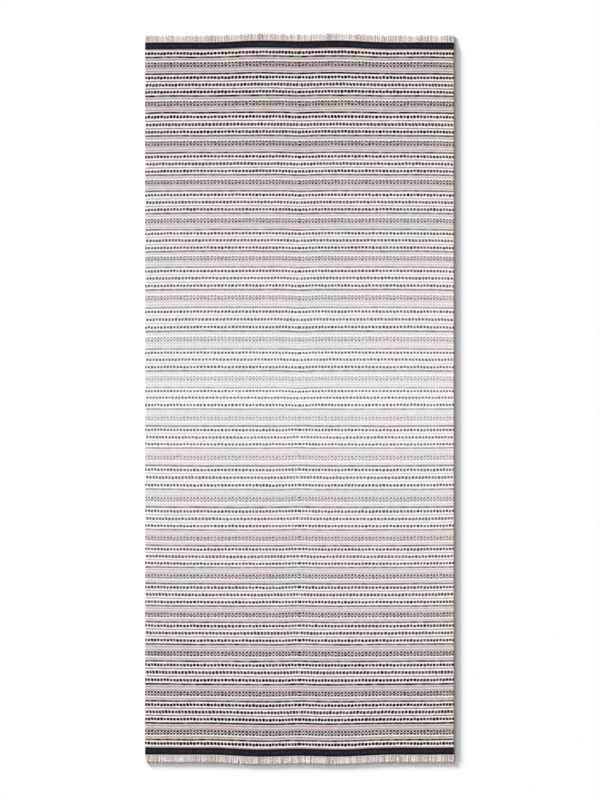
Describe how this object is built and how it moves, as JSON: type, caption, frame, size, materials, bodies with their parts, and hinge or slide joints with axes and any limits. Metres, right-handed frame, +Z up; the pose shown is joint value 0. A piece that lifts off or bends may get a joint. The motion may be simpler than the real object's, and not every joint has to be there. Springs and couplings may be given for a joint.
{
  "type": "kilim rug",
  "caption": "Flat-woven cotton runner with ribbed faces, fading stripes and rows of dots, dark end bands and a short fringe at each end.",
  "frame": {"origin": "middle of the underside, on the surface that the rug lies on", "axes": "+Y along the rug from end to end, +Z up out of its face, +X across it"},
  "size_m": [0.7, 1.6546, 0.004],
  "materials": {
    "woven_cotton": "matte",
    "fringe_cotton": "matte"
  },
  "bodies": {
    "root": {"cloth": "woven_cotton", "fringe_far": "fringe_cotton", "fringe_near": "fringe_cotton"}
  },
  "joints": []
}
